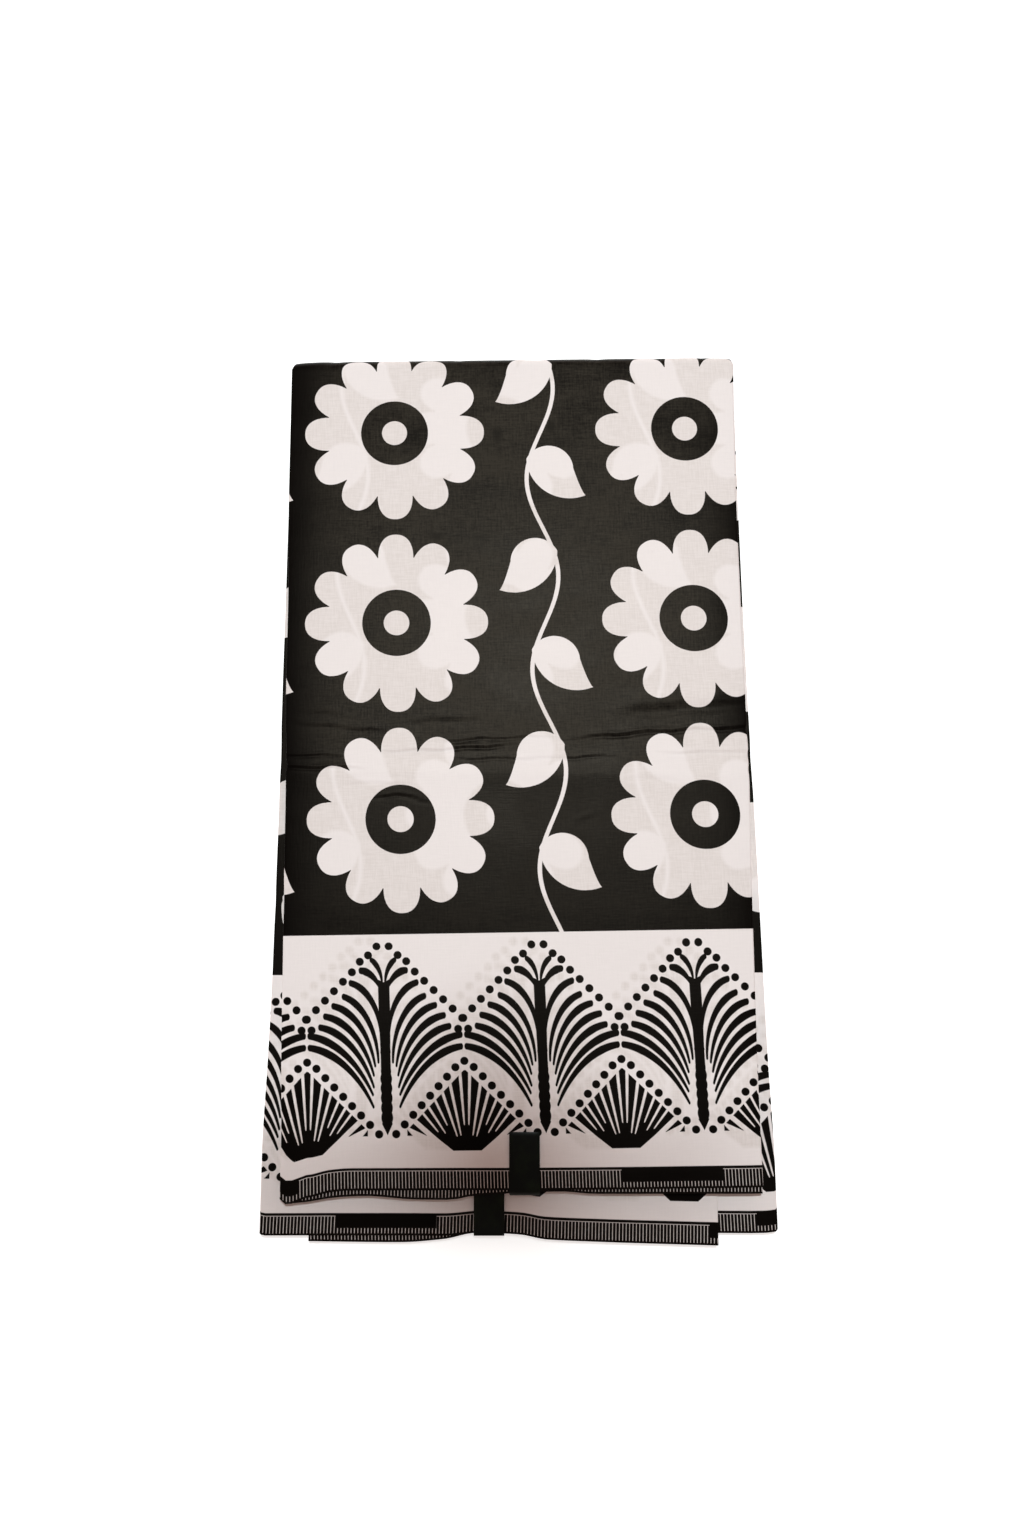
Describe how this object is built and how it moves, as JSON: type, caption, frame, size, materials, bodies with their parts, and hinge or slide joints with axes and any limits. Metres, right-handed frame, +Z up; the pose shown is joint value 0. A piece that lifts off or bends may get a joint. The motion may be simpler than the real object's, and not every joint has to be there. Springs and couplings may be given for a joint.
{
  "type": "folded printed cotton fabric",
  "caption": "Length of black and off-white wax-print cotton, pleated and folded across into a flat oblong pad, with woven selvedge bands and plain foil labels.",
  "frame": {"origin": "under the middle of the folded pad, on the surface it lies on", "axes": "+Y points away from the selvedges towards the thick fold, +X runs from the left side folds to the right ones, +Z is up out of the pad"},
  "size_m": [0.3308, 0.6046, 0.0168],
  "materials": {
    "printed_cotton": "Plain-woven cotton, wax-printed in black and off-white on both faces, with a light polished sheen.",
    "foil_label": "Thin dark green foil-faced label, glossy, bare of words."
  },
  "bodies": {
    "root": {"outer_leaf": "printed_cotton", "second_leaf": "printed_cotton", "folded_layers": "printed_cotton", "inner_leaf": "printed_cotton", "inner_under_leaf": "printed_cotton", "upper_label": "foil_label", "lower_label": "foil_label"}
  },
  "joints": []
}
